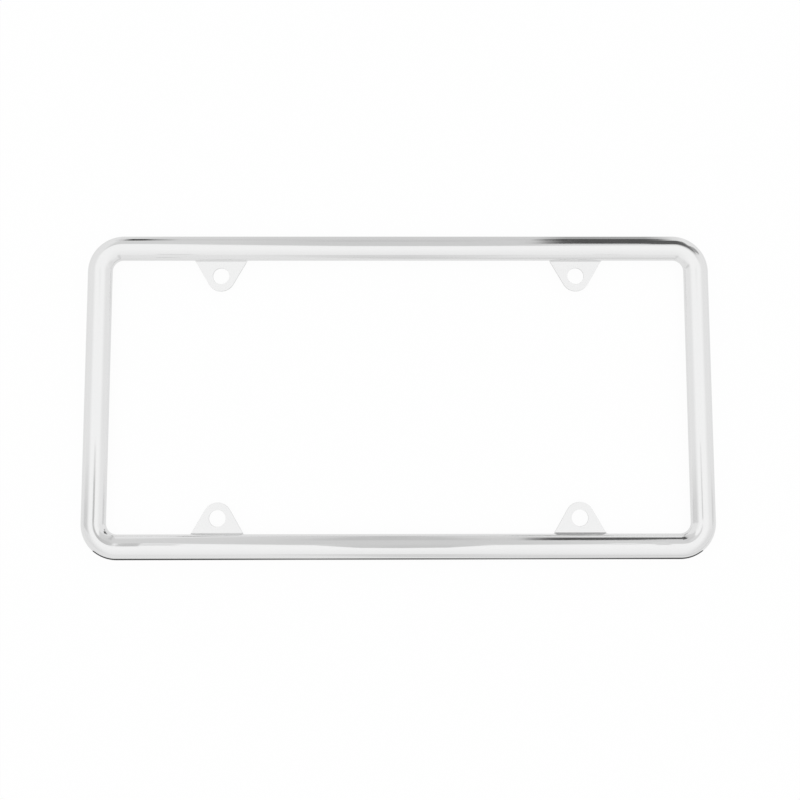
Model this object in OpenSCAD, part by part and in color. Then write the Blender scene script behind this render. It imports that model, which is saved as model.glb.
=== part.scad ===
// A frame that goes round a number plate, pressed from one sheet: a rounded bead all
// round, open at the back, with four flat ears bent off its inner wall for the screws.
// X runs along the long side, Z from the back to the front, and the foot of the outer
// wall lies in the plane Z = 0. All sizes are millimetres.

/* [Sheet] */
// Thickness of the pressed sheet
sheet_t = 0.8; // [0.6:0.1:1.0]

/* [Frame] */
// Overall length, across the outer walls
frame_l = 311; // [300:1:330]
// Overall height, across the outer walls
frame_h = 161; // [156:0.5:170]
// Outer radius of the four corners
corner_r = 18; // [16:0.2:24]

/* [Bead section] */
// Width of the bead, from the outer wall to the trimmed inner edge
bead_w = 12.5; // [12:0.1:14]
// Height of the crown above the foot of the outer wall
bead_h = 8; // [7.8:0.1:9]
// Radius between the outer wall and the crown
outer_shoulder_r = 4.6; // [4:0.1:5.2]
// Radius between the crown and the inner wall
inner_shoulder_r = 3.2; // [2.6:0.1:3.4]
// Angle from the crown's highest line out to the outer shoulder
crown_out = 20; // [16:1:26]
// Angle from the crown's highest line in to the inner shoulder
crown_in = 40; // [36:1:42]
// Lean of the inner wall, away from upright
inner_lean = 15; // [12:1:18]

/* [Ears] */
// Height of the ears' back face above the foot, where the plate seats
seat_z = 2.8; // [2.4:0.1:2.9]
// Radius of the bend that turns the inner wall into an ear
ear_bend_r = 0.8; // [0.5:0.1:1.2]
// Radius of an ear's tip
ear_tip_r = 7; // [6.2:0.1:8]
// Distance from the hole's centre to the ear's tip
ear_tip_edge = 7.7; // [7:0.1:9]
// Angle of an ear's flanks, away from the ear's own centre line
ear_flank = 30; // [20:1:38]
// Radius of the fillets at an ear's root
ear_fillet_r = 2.4; // [1.5:0.1:3]

/* [Screw holes] */
// Diameter of the screw holes
hole_d = 8.2; // [6:0.1:9]
// Distance between the holes along the frame
hole_pitch_x = 177.8; // [170:0.1:186]
// Distance of the holes' centres in from the outer walls of the two long sides
hole_in = 20.175; // [19:0.025:22]

/* [Hidden] */

// Largest step that an arc of an outline takes
facet_angle = 6;
// How far the fillets' own arcs start behind the trimmed edge, so that they cross it cleanly
fillet_sink = 0.3;
// How far a cut or a blank runs past what it has to clear
cut_over = 2;

// Unit vector at an angle, and the points of an arc
function dir(angle) = [cos(angle), sin(angle)];
function arc(centre, r, from, to) =
    let (steps = ceil(abs(to - from) / facet_angle))
    [for (i = [0 : steps]) centre + r * dir(from + (to - from) * i / steps)];
function reversed(list) = [for (i = [len(list) - 1 : -1 : 0]) list[i]];

// Angles, about each bend's own centre, at which the bead's arcs meet
crown_start = 90 + crown_out;
crown_end = 90 - crown_in;

// Front edge of the inner wall, where it is trimmed or turns into an ear
edge_z = seat_z + sheet_t + ear_bend_r * (1 - sin(inner_lean));
edge_front = [bead_w, edge_z];
edge_back = edge_front - sheet_t * dir(inner_lean);

// The crown's arc and the straight inner wall share the width and height that the shoulders leave
left_w = bead_w - outer_shoulder_r * (1 + cos(crown_start)) - inner_shoulder_r * (cos(inner_lean) - cos(crown_end));
left_h = bead_h - edge_z - inner_shoulder_r * (sin(crown_end) - sin(inner_lean));
crown_w_per_r = cos(crown_end) - cos(crown_start);
crown_drop_per_r = 1 - sin(crown_end);
crown_r = (left_w - left_h * tan(inner_lean)) / (crown_w_per_r - crown_drop_per_r * tan(inner_lean));
outer_wall = bead_h - crown_r * (1 - sin(crown_start)) - outer_shoulder_r * sin(crown_start);

// Centres of the bead's three bends, from the outer wall inwards
outer_shoulder = [outer_shoulder_r, outer_wall];
crown = outer_shoulder + (outer_shoulder_r - crown_r) * dir(crown_start);
inner_shoulder = crown + (crown_r - inner_shoulder_r) * dir(crown_end);

// Ears, measured inwards from the outer wall and sideways from the hole
hole_pitch_y = frame_h - 2 * hole_in;
tip_centre = [0, hole_in + ear_tip_edge - ear_tip_r];
ear_end_in = hole_in + ear_tip_edge;
ear_bend = edge_front + ear_bend_r * dir(inner_lean);
tip_side = tip_centre + ear_tip_r * dir(ear_flank);
root_in = bead_w - fillet_sink;
root_half = tip_side[0] + (tip_side[1] - root_in) * tan(ear_flank);
fillet_centre = [root_half + ear_fillet_r * (1 - sin(ear_flank)) / cos(ear_flank), root_in + ear_fillet_r];

// One face of the bead's sheet, from the foot to the trimmed edge: depth is 0 at the front
function bead_face(depth) = concat(
    [[depth, 0]],
    arc(outer_shoulder, outer_shoulder_r - depth, 180, crown_start),
    arc(crown, crown_r - depth, crown_start, crown_end),
    arc(inner_shoulder, inner_shoulder_r - depth, crown_end, inner_lean)
);

// Section of the bead: X is the distance in from the outer wall, Y the height
module bead_section() {
    polygon(concat(bead_face(0), [edge_front, edge_back], reversed(bead_face(sheet_t))));
}

// Section of the sheet where an ear grows: the bead, the bend and the ear's flat blank in one
module ear_section() {
    blank_end = ear_end_in + cut_over;
    bend_start = 180 + inner_lean;
    polygon(concat(
        bead_face(0),
        arc(ear_bend, ear_bend_r, bend_start, 270),
        [[blank_end, seat_z + sheet_t], [blank_end, seat_z]],
        arc(ear_bend, ear_bend_r + sheet_t, 270, bend_start),
        reversed(bead_face(sheet_t))
    ));
}

// Outline of half an ear seen from the front, from its root to the middle of its tip
half_ear = concat(
    [[fillet_centre[0], bead_w - cut_over]],
    arc(fillet_centre, ear_fillet_r, 270, 180 + ear_flank),
    arc(tip_centre, ear_tip_r, ear_flank, 90)
);

// Outline of a whole ear, before its hole is punched
module ear_outline() {
    other_half = [for (point = reversed(half_ear)) [-point[0], point[1]]];
    polygon(concat(half_ear, other_half));
}

// A length of a section along X, centred, with the outer wall's face on Y = 0
module straight(length) {
    translate([-length / 2, 0, 0])
        rotate([90, 0, 90])
        linear_extrude(length)
        children();
}

// One corner of the bead, about the corner's own centre
module corner() {
    rotate(-90)
        rotate_extrude(angle = 90, $fn = 96)
        translate([corner_r, 0])
        mirror([1, 0])
        bead_section();
}

// One ear, bent off the inner wall, about the hole's place along the frame
module ear() {
    intersection() {
        straight(2 * fillet_centre[0] + cut_over) ear_section();
        linear_extrude(bead_h) ear_outline();
    }
}

// One side of the bead with the corner at its end
module side(length, distance) {
    straight_l = length - 2 * corner_r;
    translate([0, -distance, 0]) straight(straight_l) bead_section();
    translate([straight_l / 2, corner_r - distance, 0]) corner();
}

module plate_frame() {
    color("silver")
    difference() {
        union() {
            for (turn = [0, 180]) rotate(turn) {
                side(frame_l, frame_h / 2);
                for (end = [-1, 1])
                    translate([end * hole_pitch_x / 2, -frame_h / 2, 0]) ear();
            }
            for (turn = [90, 270]) rotate(turn) side(frame_h, frame_l / 2);
        }
        for (x = [-1, 1], y = [-1, 1])
            translate([x * hole_pitch_x / 2, y * hole_pitch_y / 2, seat_z - cut_over])
                cylinder(h = sheet_t + 2 * cut_over, d = hole_d, $fn = 96);
    }
}

plate_frame();
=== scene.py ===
"""Looks of the number plate holder frame: one pressed, mirror-polished steel sheet."""

import math

import bpy
from mathutils import Matrix, Vector


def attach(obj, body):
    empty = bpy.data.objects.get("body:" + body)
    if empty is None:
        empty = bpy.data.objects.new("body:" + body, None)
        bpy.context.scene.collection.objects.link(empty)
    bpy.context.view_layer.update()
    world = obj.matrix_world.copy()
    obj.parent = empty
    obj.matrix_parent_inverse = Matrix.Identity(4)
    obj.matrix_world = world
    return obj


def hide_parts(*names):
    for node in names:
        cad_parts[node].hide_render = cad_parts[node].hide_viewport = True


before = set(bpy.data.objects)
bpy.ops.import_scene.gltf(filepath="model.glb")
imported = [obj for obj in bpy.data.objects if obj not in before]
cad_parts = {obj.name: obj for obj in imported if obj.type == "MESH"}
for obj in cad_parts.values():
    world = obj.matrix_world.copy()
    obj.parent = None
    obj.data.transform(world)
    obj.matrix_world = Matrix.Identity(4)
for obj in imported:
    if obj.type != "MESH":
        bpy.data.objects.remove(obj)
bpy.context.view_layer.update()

MM = 0.001

# Sizes in mm and angles in degrees, as in part.scad
SHEET = 0.8
LENGTH, HEIGHT, CORNER_R = 311.0, 161.0, 18.0
BEAD_W, BEAD_H = 12.5, 8.0
OUTER_R, INNER_R = 4.6, 3.2
CROWN_OUT, CROWN_IN, LEAN = 20.0, 40.0, 15.0
SEAT_Z, BEND_R = 2.8, 0.8
TIP_R, TIP_EDGE, FLANK, FILLET_R, SINK = 7.0, 7.7, 30.0, 2.4, 0.3
HOLE_D, HOLE_X, HOLE_IN = 8.2, 88.9, 20.175

# How finely the mesh is divided: steps of each arc or straight, and the columns of an ear
WALL_STEPS, OUTER_STEPS, CROWN_STEPS, INNER_STEPS, LIP_STEPS = 4, 16, 20, 9, 3
BEND_STEPS, FILLET_STEPS, FLANK_STEPS, TIP_STEPS, EAR_COLUMNS = 8, 2, 10, 14, 24
CORNER_STEPS, SHORT_SIDE_STEPS, COLUMN_PITCH = 28, 12, 9.0
# Width of the finer ring of faces round a screw hole
HOLE_RING = 0.55
# Rounding of the sheared edges, and the angle from which an edge counts as sheared
EDGE_BREAK, EDGE_BREAK_STEPS, EDGE_BREAK_ANGLE = 0.14, 3, 40.0


def cos(angle):
    return math.cos(math.radians(angle))


def sin(angle):
    return math.sin(math.radians(angle))


def tan(angle):
    return math.tan(math.radians(angle))


def direction(angle):
    return Vector((cos(angle), sin(angle)))


def arc(centre, radius, start, end, steps):
    """Points on an arc, both ends included."""
    return [centre + radius * direction(start + (end - start) * i / steps) for i in range(steps + 1)]


# Points of the section: the trimmed edge of the inner wall, and the centre of an ear's bend
EDGE = Vector((BEAD_W, SEAT_Z + SHEET + BEND_R * (1 - sin(LEAN))))
BEND = EDGE + BEND_R * direction(LEAN)


def bead_profile():
    """Front face of the bead from the foot to the trimmed inner edge: (distance in, height)."""
    start, end = 90 + CROWN_OUT, 90 - CROWN_IN
    left_w = BEAD_W - OUTER_R * (1 + cos(start)) - INNER_R * (cos(LEAN) - cos(end))
    left_h = BEAD_H - EDGE.y - INNER_R * (sin(end) - sin(LEAN))
    crown_r = (left_w - left_h * tan(LEAN)) / (cos(end) - cos(start) - (1 - sin(end)) * tan(LEAN))
    wall = BEAD_H - crown_r * (1 - sin(start)) - OUTER_R * sin(start)
    outer = Vector((OUTER_R, wall))
    crown = outer + (OUTER_R - crown_r) * direction(start)
    inner = crown + (crown_r - INNER_R) * direction(end)
    rows = [Vector((0, wall * i / WALL_STEPS)) for i in range(WALL_STEPS)]
    rows += arc(outer, OUTER_R, 180, start, OUTER_STEPS)
    rows += arc(crown, crown_r, start, end, CROWN_STEPS)[1:]
    rows += arc(inner, INNER_R, end, LEAN, INNER_STEPS)[1:]
    foot = rows[-1]
    rows += [foot.lerp(EDGE, i / LIP_STEPS) for i in range(1, LIP_STEPS + 1)]
    return rows


# An ear's outline: sideways from its hole, and the distance in from the outer wall
TIP = Vector((0, HOLE_IN + TIP_EDGE - TIP_R))
TIP_SIDE = TIP + TIP_R * direction(FLANK)
ROOT = BEAD_W - SINK
ROOT_HALF = TIP_SIDE.x + (TIP_SIDE.y - ROOT) * tan(FLANK)
FILLET = Vector((ROOT_HALF + FILLET_R * (1 - sin(FLANK)) / cos(FLANK), ROOT + FILLET_R))


def half_width(p):
    """Half the ear's width at a distance in, within its root fillet."""
    return FILLET.x - math.sqrt(max(FILLET_R ** 2 - (FILLET.y - p) ** 2, 0.0))


# An ear's columns, as fractions of its half width, lie at even angles about its hole
OPENING = math.atan2(half_width(BEND.x), HOLE_IN - BEND.x)
FRACTIONS = [math.tan(OPENING * (2 * i / EAR_COLUMNS - 1)) / math.tan(OPENING)
             for i in range(EAR_COLUMNS + 1)]


def ear_side():
    """Right edge of an ear's flat part, from the end of the bend to the middle of its tip."""
    start = math.degrees(math.atan2(BEND.x - FILLET.y, half_width(BEND.x) - FILLET.x)) % 360
    points = arc(FILLET, FILLET_R, start, 180 + FLANK, FILLET_STEPS)[1:]
    foot = points[-1]
    points += [foot.lerp(TIP_SIDE, i / FLANK_STEPS) for i in range(1, FLANK_STEPS)]
    points += arc(TIP, TIP_R, FLANK, 90, TIP_STEPS)
    return points


def long_side_columns(straight):
    """Places along a long side, with the ears' own columns where the ears join it."""
    root = half_width(BEAD_W)
    marks = []
    last = -straight / 2
    for centre in (-HOLE_X, HOLE_X):
        ear = [centre + root * f for f in FRACTIONS]
        steps = max(2, round((ear[0] - last) / COLUMN_PITCH))
        marks += [last + (ear[0] - last) * i / steps for i in range(steps)]
        marks += ear[:-1]
        last = ear[-1]
    steps = max(2, round((straight / 2 - last) / COLUMN_PITCH))
    marks += [last + (straight / 2 - last) * i / steps for i in range(steps)]
    return marks


def columns():
    """Every column of the bead, anticlockwise: its point on the outer wall, its way in and, on a
    straight side, which side that is and how far along."""
    result = []
    for turn, (length, distance) in enumerate(((LENGTH, HEIGHT), (HEIGHT, LENGTH)) * 2):
        along, inwards = direction(90 * turn), direction(90 * turn + 90)
        straight = length - 2 * CORNER_R
        origin = -inwards * distance / 2
        if turn % 2 == 0:
            marks = long_side_columns(straight)
        else:
            marks = [straight * (i / SHORT_SIDE_STEPS - 0.5) for i in range(SHORT_SIDE_STEPS)]
        result += [(origin + along * m, inwards, (turn, m)) for m in marks]
        centre = origin + along * straight / 2 + inwards * CORNER_R
        for i in range(CORNER_STEPS):
            out = direction(90 * turn - 90 + 90 * i / CORNER_STEPS)
            result.append((centre + out * CORNER_R, -out, None))
    return result


class SheetMesh:
    """Points and faces of the sheet's front face."""

    def __init__(self):
        self.verts, self.faces = [], []

    def add(self, point, inwards, p, z):
        """A point at a distance p in from a point of the outer wall; gives its number."""
        xy = point + inwards * p
        self.verts.append((xy.x * MM, xy.y * MM, z * MM))
        return len(self.verts) - 1

    def add_bead(self, cols):
        """The bead's grid; gives the numbers of its points, column by column."""
        profile = bead_profile()
        grid = [[self.add(point, inwards, row.x, row.y) for row in profile]
                for point, inwards, _ in cols]
        for i, column in enumerate(grid):
            after = grid[(i + 1) % len(grid)]
            for j in range(len(profile) - 1):
                self.faces.append((column[j], after[j], after[j + 1], column[j + 1]))
        return grid

    def add_ear(self, base, along, inwards, row):
        """An ear that grows from a row of points on the bead's edge: its bend, its tab and its hole."""
        place = lambda u, p, z: self.add(base + along * u, inwards, p, z)
        for point in arc(BEND, BEND_R, 180 + LEAN, 270, BEND_STEPS)[1:]:
            half = half_width(point.x)
            after = [place(half * f, point.x, point.y) for f in FRACTIONS]
            for k in range(EAR_COLUMNS):
                self.faces.append((row[k], row[k + 1], after[k + 1], after[k]))
            row = after
        flat_z = SEAT_Z + SHEET
        side = ear_side()
        outline = [(half_width(BEND.x) * f, BEND.x, row[k]) for k, f in enumerate(FRACTIONS)]
        outline += [(q.x, q.y, place(q.x, q.y, flat_z)) for q in side]
        outline += [(-q.x, q.y, place(-q.x, q.y, flat_z)) for q in reversed(side[:-1])]
        rings = [[q[2] for q in outline]]
        for grow in (HOLE_RING, 0.0):
            ring = []
            for u, p, _ in outline:
                away = Vector((u, p - HOLE_IN)).normalized() * (HOLE_D / 2 + grow)
                ring.append(place(away.x, HOLE_IN + away.y, flat_z))
            rings.append(ring)
        n = len(outline)
        for outer, inner in zip(rings, rings[1:]):
            for k in range(n):
                self.faces.append((outer[k], outer[(k + 1) % n], inner[(k + 1) % n], inner[k]))


def sheet_face():
    """The sheet's whole front face: the bead's grid with the four ears grown from its edge."""
    sheet, cols = SheetMesh(), columns()
    grid = sheet.add_bead(cols)
    for turn in (0, 2):
        along, inwards = direction(90 * turn), direction(90 * turn + 90)
        origin = -inwards * HEIGHT / 2
        for centre in (-HOLE_X, HOLE_X):
            first = min((abs(tag[1] - centre + half_width(BEAD_W)), k)
                        for k, (_, _, tag) in enumerate(cols) if tag and tag[0] == turn)[1]
            row = [grid[(first + k) % len(grid)][-1] for k in range(EAR_COLUMNS + 1)]
            sheet.add_ear(origin + along * centre, along, inwards, row)
    mesh = bpy.data.meshes.new("pressed_frame")
    mesh.from_pydata(sheet.verts, [], sheet.faces)
    mesh.validate()
    mesh.update()
    return mesh


def node(tree, kind, **values):
    """A node with its plain settings, and with its numbered or named inputs set or linked."""
    made = tree.nodes.new(kind)
    inputs = values.pop("inputs", {})
    for name, value in values.items():
        setattr(made, name, value)
    for key, value in inputs.items():
        if isinstance(value, bpy.types.NodeSocket):
            tree.links.new(value, made.inputs[key])
        else:
            made.inputs[key].default_value = value
    return made


def math_node(tree, operation, *values):
    """The result of a Math node."""
    return node(tree, "ShaderNodeMath", operation=operation, inputs=dict(enumerate(values))).outputs[0]


def ramp(tree, value, low, high, to_low=0.0, to_high=1.0, kind="SMOOTHSTEP"):
    """A value that goes from to_low to to_high while the given one goes from low to high."""
    return node(tree, "ShaderNodeMapRange", interpolation_type=kind, clamp=True,
                inputs={0: value, 1: low, 2: high, 3: to_low, 4: to_high}).outputs[0]


def mix_value(tree, factor, a, b):
    """The value a where factor is 0, and b where it is 1."""
    return node(tree, "ShaderNodeMix", data_type="FLOAT", clamp_factor=True,
                inputs={0: factor, 2: a, 3: b}).outputs[0]


def new_material(name):
    """A material, its node tree and its shader."""
    material = bpy.data.materials.new(name)
    material.use_nodes = True
    return material, material.node_tree, material.node_tree.nodes["Principled BSDF"]


def noise(tree, place, scale, detail, **more):
    """The height of a Noise node."""
    return node(tree, "ShaderNodeTexNoise",
                inputs={"Vector": place, "Scale": scale, "Detail": detail, **more}).outputs[0]


def set_tones(tree, shader, value, dark, light):
    """Base colour that goes from dark to light with a value."""
    tone = node(tree, "ShaderNodeValToRGB", inputs={0: value})
    tone.color_ramp.elements[0].color = (*dark, 1)
    tone.color_ramp.elements[1].color = (*light, 1)
    tree.links.new(tone.outputs[0], shader.inputs["Base Color"])


def polished_steel():
    """Mirror-polished sheet: faint polishing haze, fine wipe marks and the press's soft waviness."""
    material, tree, shader = new_material("polished_steel_sheet")
    shader.inputs["Metallic"].default_value = 1.0
    place = node(tree, "ShaderNodeTexCoord").outputs["Object"]
    haze = noise(tree, place, 55.0, 4.0, Roughness=0.6)
    long_way = node(tree, "ShaderNodeMapping",
                    inputs={"Vector": place, "Scale": (260.0, 2600.0, 2600.0)})
    marks = noise(tree, long_way.outputs[0], 1.0, 3.0, Roughness=0.55)
    both = math_node(tree, "MULTIPLY_ADD", marks, 0.35, math_node(tree, "MULTIPLY", haze, 0.65))
    tree.links.new(ramp(tree, both, 0.36, 0.64, 0.07, 0.13, "LINEAR"), shader.inputs["Roughness"])
    set_tones(tree, shader, haze, (0.885, 0.887, 0.890), (0.915, 0.915, 0.912))
    waves = noise(tree, place, 38.0, 1.0, Roughness=0.4)
    wavy = node(tree, "ShaderNodeBump", inputs={"Height": waves, "Distance": 0.00006, "Strength": 0.5})
    fine = node(tree, "ShaderNodeBump", inputs={"Height": marks, "Distance": 0.0000015, "Strength": 0.4,
                                                "Normal": wavy.outputs[0]})
    tree.links.new(fine.outputs[0], shader.inputs["Normal"])
    return material


def cut_steel():
    """The sheared edges of the sheet and of its holes: satin, with the shear's fine upright lines."""
    material, tree, shader = new_material("cut_steel_edge")
    shader.inputs["Metallic"].default_value = 1.0
    place = node(tree, "ShaderNodeTexCoord").outputs["Object"]
    upright = node(tree, "ShaderNodeMapping",
                   inputs={"Vector": place, "Scale": (5200.0, 5200.0, 500.0)})
    lines = noise(tree, upright.outputs[0], 1.0, 2.0)
    tree.links.new(ramp(tree, lines, 0.3, 0.7, 0.22, 0.38, "LINEAR"), shader.inputs["Roughness"])
    set_tones(tree, shader, lines, (0.62, 0.625, 0.63), (0.78, 0.78, 0.775))
    bump = node(tree, "ShaderNodeBump", inputs={"Height": lines, "Distance": 0.00001, "Strength": 0.5})
    tree.links.new(bump.outputs[0], shader.inputs["Normal"])
    return material


def make_frame():
    """The one piece: the front face, thickened to the sheet, with its sheared edges lightly rounded."""
    piece = bpy.data.objects.new("pressed_frame", sheet_face())
    bpy.context.scene.collection.objects.link(piece)
    piece.data.materials.append(polished_steel())
    piece.data.materials.append(cut_steel())
    for face in piece.data.polygons:
        face.use_smooth = True
    solid = piece.modifiers.new("sheet", "SOLIDIFY")
    solid.thickness = SHEET * MM
    solid.offset = -1.0
    solid.use_even_offset = True
    solid.use_quality_normals = True
    solid.material_offset_rim = 1
    bevel = piece.modifiers.new("edge_break", "BEVEL")
    bevel.width = EDGE_BREAK * MM
    bevel.segments = EDGE_BREAK_STEPS
    bevel.limit_method = "ANGLE"
    bevel.angle_limit = math.radians(EDGE_BREAK_ANGLE)
    bevel.harden_normals = True
    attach(piece, "root")
    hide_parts("plate_frame")


# The floor: half its side and its depth below the frame in metres, and its greys
FLOOR_HALF, FLOOR_DROP = 6.0, 0.0001
FLOOR_TONE, FLOOR_IN_MIRROR, FLOOR_GLOW_SHARE = 0.93, 0.82, 0.95


def make_floor():
    """White to the camera, pale in reflections, and plain diffuse for the shadow that it keeps."""
    mesh = bpy.data.meshes.new("floor")
    corners = [(x * FLOOR_HALF, y * FLOOR_HALF, 0) for x, y in ((-1, -1), (1, -1), (1, 1), (-1, 1))]
    mesh.from_pydata(corners, [], [(0, 1, 2, 3)])
    floor = bpy.data.objects.new("floor", mesh)
    floor.location.z = -FLOOR_DROP
    bpy.context.scene.collection.objects.link(floor)
    material, tree, shader = new_material("pale_floor")
    shader.inputs["Base Color"].default_value = (FLOOR_TONE, FLOOR_TONE, FLOOR_TONE, 1)
    shader.inputs["Roughness"].default_value = 0.9
    path = node(tree, "ShaderNodeLightPath")
    strength = mix_value(tree, path.outputs["Is Glossy Ray"], 1.0, FLOOR_IN_MIRROR)
    glow = node(tree, "ShaderNodeEmission", inputs={"Color": (1, 1, 1, 1), "Strength": strength})
    seen = math_node(tree, "MAXIMUM", path.outputs["Is Camera Ray"], path.outputs["Is Glossy Ray"])
    seen = math_node(tree, "MAXIMUM", seen, path.outputs["Is Transmission Ray"])
    share = math_node(tree, "MULTIPLY", seen, FLOOR_GLOW_SHARE)
    mixed = node(tree, "ShaderNodeMixShader",
                 inputs={0: share, 1: shader.outputs[0], 2: glow.outputs[0]})
    tree.links.new(mixed.outputs[0], tree.nodes["Material Output"].inputs["Surface"])
    mesh.materials.append(material)


def make_flag(name, near, far):
    """A studio flag: a grey card that only reflections show.

    Its two long edges are rows of x, y and z in mm and a tone, which runs smoothly between them."""
    count = len(near)
    mesh = bpy.data.meshes.new(name)
    mesh.from_pydata([[v * MM for v in point[:3]] for point in near + far], [],
                     [(i, i + 1, count + i + 1, count + i) for i in range(count - 1)])
    tones = mesh.attributes.new("tone", "FLOAT", "POINT")
    tones.data.foreach_set("value", [point[3] for point in near + far])
    flag = bpy.data.objects.new(name, mesh)
    bpy.context.scene.collection.objects.link(flag)
    flag.visible_camera = flag.visible_diffuse = flag.visible_shadow = flag.visible_transmission = False
    material, tree, _ = new_material(name)
    tone = node(tree, "ShaderNodeAttribute", attribute_name="tone")
    glow = node(tree, "ShaderNodeEmission",
                inputs={"Color": (1, 1, 1, 1), "Strength": tone.outputs["Fac"]})
    tree.links.new(glow.outputs[0], tree.nodes["Material Output"].inputs["Surface"])
    mesh.materials.append(material)


def make_card(name, near, far, stations):
    """A flag along the frame. Each edge is its y and z; a station is its x on each edge and a tone."""
    make_flag(name, [(a, *near, tone) for a, _, tone in stations],
              [(b, *far, tone) for _, b, tone in stations])


# Heights of the flags over the frame, and of a strip that lies on the floor, such as the painted contact
# shadow, in mm
FLAG_Z, LINE_TAIL_Z, TAIL_Z, LINE_END_Z, LINE_Z, STRIP_Z = 330, 322, 200, 120, 60, 0.05
# The painted contact shadow, a dark strip on the floor that only reflections show: radius and tone of
# its two edges, the end of its straight part, and the tone
# # and size of its soft margin
SHADOW_STRIP_IN, SHADOW_STRIP_OUT, STRAIGHT_END = (18.6, 0.06), (28.5, 0.07), 110
MARGIN_TONE, MARGIN_Y, MARGIN_OUT, MARGIN_SPREAD = 0.66, 34.0, 5.5, 1.02


def make_far_flags():
    """Flags over and behind the far bar."""
    # The black band of the far bar's outer slope, and the line that it draws on the near bar
    make_card("far_flag", (266, FLAG_Z), (640, FLAG_Z),
              [(118, 160, 0.66), (128, 172, 0.32), (143, 190, 0.09), (220, 288, 0.09), (238, 310, 0.20),
               (256, 328, 0.80)])
    make_card("far_tail", (172, TAIL_Z), (262, TAIL_Z),
              [(182, 182, 0.10), (225, 232, 0.10), (262, 280, 0.14), (290, 330, 0.35)])
    make_card("line_tail", (350, LINE_TAIL_Z), (600, LINE_TAIL_Z),
              [(232, 285, 0.10), (290, 350, 0.10), (390, 450, 0.20)])
    # Past the right end: x and y of the near edge, of the far edge, and a tone
    tail = [(290, 196, 290, 262, 0.35), (400, 250, 380, 330, 0.35), (560, 360, 520, 440, 0.45),
            (760, 500, 720, 590, 0.75)]
    make_flag("corner_tail", [(x, y, TAIL_Z, tone) for x, y, _, _, tone in tail],
              [(x, y, TAIL_Z, tone) for _, _, x, y, tone in tail])
    # The grey room behind the far bar, down to the floor
    make_card("far_foot", (91, 9), (110, 30),
              [(-148, -159, 0.80), (-140, -150, 0.66), (-136, -146, 0.07), (-129, -139, 0.07),
               (-123, -132, 0.36), (-112, -118, 0.66), (-50, -53, 0.65), (52, 55, 0.65), (68, 71, 0.62),
               (76, 79, 0.27), (84, 88, 0.09), (126, 133, 0.09), (133, 141, 0.18), (141, 149, 0.75),
               (152, 165, 0.85)])
    make_card("far_floor", (84, STRIP_Z), (91, 9),
              [(-140, -145, 0.80), (-119, -122, 0.72), (-49, -50, 0.68), (70, 71, 0.66), (85, 86, 0.40),
               (125, 127, 0.40), (139, 141, 0.78), (148, 152, 0.85)])


def make_line_flags():
    """Narrow flags over the crowns of the other bars."""
    # Each has a height, and at its near and its far end a y, the x of both edges and a tone
    for name, z, (near, near_left, near_right, near_tone), (far, far_left, far_right, far_tone) in (
            ("left_line", LINE_Z, (-64, -152, -140, 0.55), (-40, -152, -140, 0.62)),
            ("left_line_end", LINE_END_Z, (-40, -156, -132, 0.64), (-18, -156, -136, 0.88)),
            ("right_line", LINE_Z, (-62, 139, 147, 0.72), (-40, 139, 147, 0.75)),
            ("right_line_end", LINE_END_Z, (-40, 129, 146, 0.76), (-18, 129, 146, 0.90))):
        make_flag(name, [(near_left, near, z, near_tone), (far_left, far, z, far_tone)],
                  [(near_right, near, z, near_tone), (far_right, far, z, far_tone)])
    # Over the near bar's middle: x, the y of the near edge, and the tones of the near and the far edge
    middle = [(-44, -60, 0.70, 0.70), (-22, -76, 0.62, 0.66), (0, -78, 0.58, 0.66),
              (26, -76, 0.60, 0.66), (52, -60, 0.72, 0.70)]
    make_flag("middle_flag", [(x, y, LINE_Z, tone) for x, y, tone, _ in middle],
              [(x, -50, LINE_Z, tone) for x, _, _, tone in middle])


def strip_edge(radius, tone):
    """An edge of the painted contact shadow's strip: round the near corners, and straight between them.
    """
    corner_x, corner_y = LENGTH / 2 - CORNER_R, CORNER_R - HEIGHT / 2

    def bend(x, start, end):
        return [(q.x, q.y, STRIP_Z, tone) for q in arc(Vector((x, corner_y)), radius, start, end, 16)]

    straight = [(x, corner_y - radius, STRIP_Z, tone * share)
                for x, share in ((-90, 1.4), (-45, 3.6), (0, 2.2), (55, 3.6), (STRAIGHT_END, 2.0))]
    return bend(-corner_x, 226, 270) + straight + bend(corner_x, 270, 312)


def make_painted_contact_shadow():
    """A painted contact shadow: a dark strip on the floor along the near side and round its corners,
    with a soft margin, that darkens the foot of the near outer wall in reflections.
    """
    inner, outer = strip_edge(*SHADOW_STRIP_IN), strip_edge(*SHADOW_STRIP_OUT)
    # Painted shadow: a dark card lying where the floor at the frame's foot would be in shade
    make_flag("painted_shadow_strip", inner, outer)
    margin = [(x * MARGIN_SPREAD, y - MARGIN_OUT, z, MARGIN_TONE) if abs(x) > STRAIGHT_END
              else (x, CORNER_R - HEIGHT / 2 - MARGIN_Y, z, MARGIN_TONE) for x, y, z, _ in outer]
    make_flag("painted_shadow_strip_edge", outer, margin)


# Tones of the studio in reflections: the tent overhead, the wall past its far edge and the room past
# its near edge, each from its middle outwards
TENT, TENT_NEAR, TENT_END = 0.97, 0.93, 0.84
LEFT_END, LEFT_END_OUT, RIGHT_END, RIGHT_END_OUT = 0.66, 0.80, 0.87, 0.68
WALL_FAR_MIDDLE, WALL_MIDDLE, WALL_SIDE, WALL_END = 0.57, 0.655, 0.70, 0.84
ROOM_MIDDLE, ROOM_SIDE, ROOM_END, ROOM_LOW = 0.71, 0.75, 0.83, 0.87
# Tilt of the tent's far edge towards the far side, and how much further it bows out left and right
FAR_EDGE, LEFT_BOW, RIGHT_BOW = 13.5, 15.0, 6.0


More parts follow.
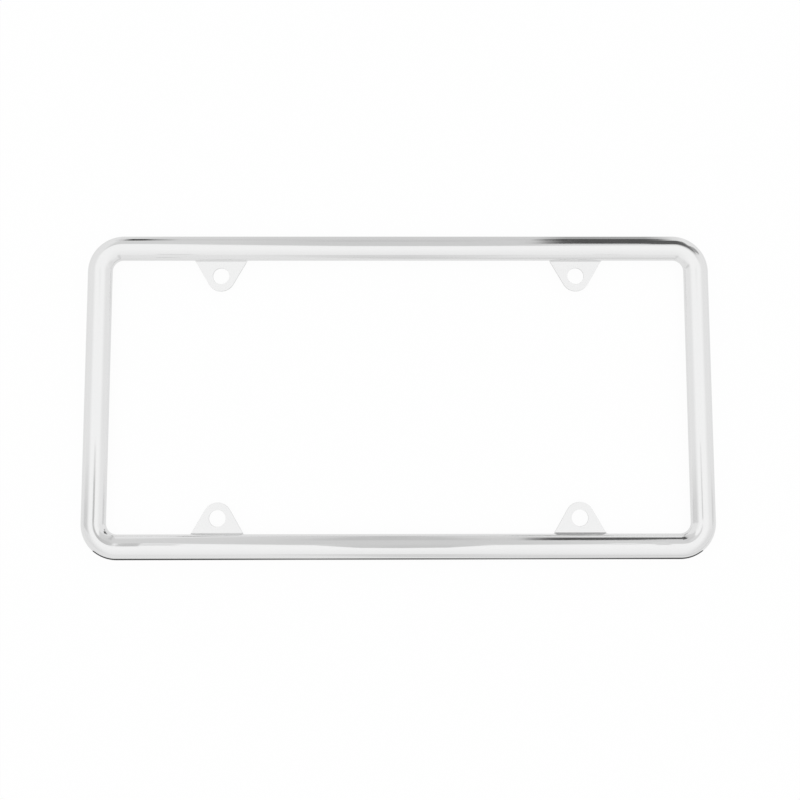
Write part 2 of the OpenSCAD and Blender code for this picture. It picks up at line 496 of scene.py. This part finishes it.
def tent_tone(tree, tilt_x, tilt_y, ends):
    """The bright tent, which falls off towards its left and right ends and a little to its near side."""
    low_left = ramp(tree, tilt_x, -74.0, -64.0, LEFT_END_OUT, LEFT_END)
    low_right = ramp(tree, tilt_x, 54.0, 66.0, RIGHT_END, RIGHT_END_OUT)
    low_end = mix_value(tree, math_node(tree, "GREATER_THAN", tilt_x, 0.0), low_left, low_right)
    low_share = math_node(tree, "MULTIPLY", ramp(tree, tilt_y, 4.0, -2.0),
                          ramp(tree, tilt_y, -15.0, -8.0))
    low_end = mix_value(tree, low_share, TENT_END, low_end)
    near_share = ramp(tree, tilt_y, 0.0, -44.0, 1.0, TENT_NEAR)
    return math_node(tree, "MULTIPLY", ramp(tree, ends, 22.0, 46.0, TENT, low_end), near_share)


def wall_tone(tree, tilt_y, ends):
    """The grey wall behind the tent's far edge, lighter at its ends."""
    middle = mix_value(tree, ramp(tree, tilt_y, 44.0, 52.0), WALL_MIDDLE,
                       ramp(tree, ends, 6.0, 12.0, WALL_FAR_MIDDLE, WALL_MIDDLE))
    return ramp(tree, ends, 26.0, 36.0, ramp(tree, ends, 4.0, 16.0, middle, WALL_SIDE), WALL_END)


def room_tone(tree, tilt_x, tilt_y, ends):
    """The lighter grey room past the tent's near edge, darkest in the middle and low on the right."""
    room = ramp(tree, ends, 8.0, 13.0, ramp(tree, ends, 3.0, 7.0, ROOM_MIDDLE, ROOM_SIDE), ROOM_END)
    low_room = ramp(tree, tilt_y, -58.0, -74.0, 1.0, ROOM_LOW)
    low_room = mix_value(tree, ramp(tree, tilt_x, 4.0, 10.0), 1.0, low_room)
    return math_node(tree, "MULTIPLY", room, low_room)


def make_world():
    """White where the camera looks; for reflections, the studio's light tent with its darker gaps."""
    world = bpy.data.worlds.new("studio")
    bpy.context.scene.world = world
    world.use_nodes = True
    tree = world.node_tree
    shader = tree.nodes["Background"]
    place = node(tree, "ShaderNodeTexCoord").outputs["Generated"]
    x, y, z = node(tree, "ShaderNodeSeparateXYZ", inputs={0: place}).outputs
    # How far a direction leans from straight up to the right and to the far side, in degrees
    tilt_x = math_node(tree, "DEGREES", math_node(tree, "ARCTAN2", x, z))
    tilt_y = math_node(tree, "DEGREES", math_node(tree, "ARCTAN2", y, z))
    ends = math_node(tree, "ABSOLUTE", tilt_x)
    left_bow = ramp(tree, tilt_x, -3.0, -15.0, 0.0, LEFT_BOW, "LINEAR")
    right_bow = ramp(tree, tilt_x, 4.0, 15.0, 0.0, RIGHT_BOW, "LINEAR")
    edge = math_node(tree, "ADD", math_node(tree, "ADD", left_bow, right_bow), FAR_EDGE)
    beyond = math_node(tree, "SUBTRACT", tilt_y, edge)
    tone = mix_value(tree, ramp(tree, beyond, -2.5, 3.5), tent_tone(tree, tilt_x, tilt_y, ends),
                     wall_tone(tree, tilt_y, ends))
    tone = mix_value(tree, ramp(tree, tilt_y, -42.0, -50.0), tone, room_tone(tree, tilt_x, tilt_y, ends))
    path = node(tree, "ShaderNodeLightPath")
    tone = mix_value(tree, path.outputs["Is Glossy Ray"], 1.0, tone)
    tree.links.new(tone, shader.inputs["Strength"])
    shader.inputs["Color"].default_value = (1, 1, 1, 1)


# The camera: its place in mm, its turns about its own axes in radians, and its focal length in picture
# widths of SENSOR
CAMERA_PLACE = (-2.47, -49.54, 489.14)
CAMERA_TURNS = ((0.09723, "X"), (-0.00639, "Y"), (-0.00104, "Z"))
SENSOR, FOCAL = 36.0, 984.15 / 800


def make_camera():
    """A camera that looks down on the frame, a little from its near side."""
    data = bpy.data.cameras.new("camera")
    data.sensor_width = SENSOR
    data.lens = SENSOR * FOCAL
    data.clip_start, data.clip_end = 0.01, 20.0
    camera = bpy.data.objects.new("camera", data)
    place = Matrix.Translation(Vector(CAMERA_PLACE) * MM)
    for angle, axis in CAMERA_TURNS:
        place = place @ Matrix.Rotation(angle, 4, axis)
    camera.matrix_world = place
    bpy.context.scene.collection.objects.link(camera)
    bpy.context.scene.camera = camera


make_camera()
make_frame()
make_floor()
make_far_flags()
make_line_flags()
make_painted_contact_shadow()
make_world()
bpy.context.scene.view_settings.view_transform = "Standard"
